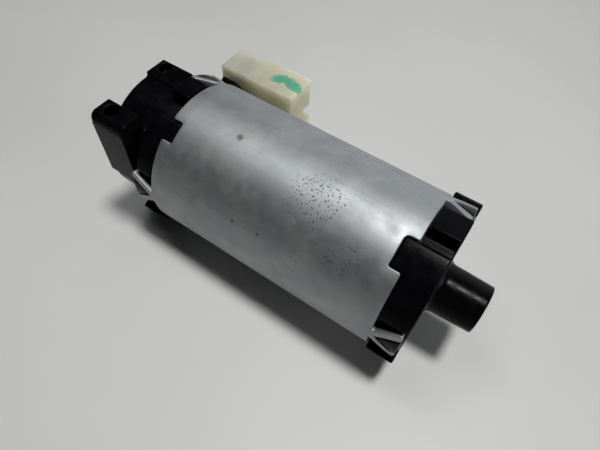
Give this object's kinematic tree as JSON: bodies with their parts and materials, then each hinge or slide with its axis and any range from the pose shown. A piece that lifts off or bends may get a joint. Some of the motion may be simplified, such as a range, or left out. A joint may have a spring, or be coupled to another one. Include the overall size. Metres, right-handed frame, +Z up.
{
  "type": "brushed dc motor",
  "caption": "Cylindrical brushed DC motor: steel tube staked over plastic end caps, fixing ears, side connector and hollow output nozzle with a square drive socket.",
  "frame": {"origin": "centre of the flat rear face of the brush end cap, on the shaft's axis", "axes": "+X along the shaft towards the output nozzle, +Z up as the motor lies on its lower pads, +Y towards the connector"},
  "size_m": [0.0921, 0.047, 0.039],
  "materials": {
    "zinc_steel": "zinc plated, satin",
    "black_plastic": "moulded, satin",
    "ivory_plastic": "moulded, satin",
    "tinned_brass": "tinned",
    "brass": "stamped",
    "steel": "ground",
    "ferrite": "sintered ferrite",
    "carbon": "pressed carbon",
    "copper": "enamelled copper",
    "sintered_bronze": "oiled sintered bronze",
    "fibre": "insulating fibre",
    "phenolic": "moulded phenolic",
    "ceramic": "coated ceramic"
  },
  "bodies": {
    "stator": {"yoke_tube": "zinc_steel", "drive_end_cap": "black_plastic", "brush_end_cap": "black_plastic", "thermal_protector": "black_plastic", "thrust_pad": "black_plastic", "connector_housing": "ivory_plastic", "terminal_positive": "tinned_brass", "terminal_negative": "tinned_brass", "brush_card": "fibre", "brush_box_upper": "brass", "brush_spring_upper": "steel", "magnet_clip_upper": "steel", "brush_lead_upper": "copper", "choke_coil_upper": "copper", "choke_core_upper": "ferrite", "brush_box_lower": "brass", "brush_spring_lower": "steel", "magnet_clip_lower": "steel", "brush_lead_lower": "copper", "choke_coil_lower": "copper", "choke_core_lower": "ferrite", "suppression_capacitor": "ceramic", "magnet_front": "ferrite", "magnet_rear": "ferrite", "brush_end_bush": "sintered_bronze", "drive_end_bush": "sintered_bronze", "brush_bush_retainer": "steel", "drive_bush_retainer": "steel"},
    "rotor": {"shaft": "steel", "thrust_washer_brush": "fibre", "thrust_washer_drive": "fibre", "armature_core": "steel", "core_insulator_brush": "fibre", "core_insulator_drive": "fibre", "armature_winding": "copper", "commutator_hub": "phenolic", "commutator_segment_1": "copper", "commutator_segment_2": "copper", "commutator_segment_3": "copper", "commutator_segment_4": "copper", "commutator_segment_5": "copper", "commutator_segment_6": "copper", "commutator_segment_7": "copper", "commutator_segment_8": "copper", "drive_socket": "steel"},
    "brush_upper": {"carbon_brush_upper": "carbon"},
    "brush_lower": {"carbon_brush_lower": "carbon"}
  },
  "joints": [
    {"name": "rotor_spin", "type": "hinge", "parent": "stator", "child": "rotor", "pos_m": [0.043, 0, 0], "axis": [1, 0, 0], "continuous": true},
    {"name": "upper_brush_slide", "type": "slide", "parent": "stator", "child": "brush_upper", "axis": [0, 0, 1], "range_m": [0, 0.0015], "stiffness_N_per_m": 400, "springref_m": -0.002, "deforming": ["brush_spring_upper", "brush_lead_upper"]},
    {"name": "lower_brush_slide", "type": "slide", "parent": "stator", "child": "brush_lower", "axis": [0, 0, -1], "range_m": [0, 0.0015], "stiffness_N_per_m": 400, "springref_m": -0.002, "deforming": ["brush_spring_lower", "brush_lead_lower"]}
  ]
}
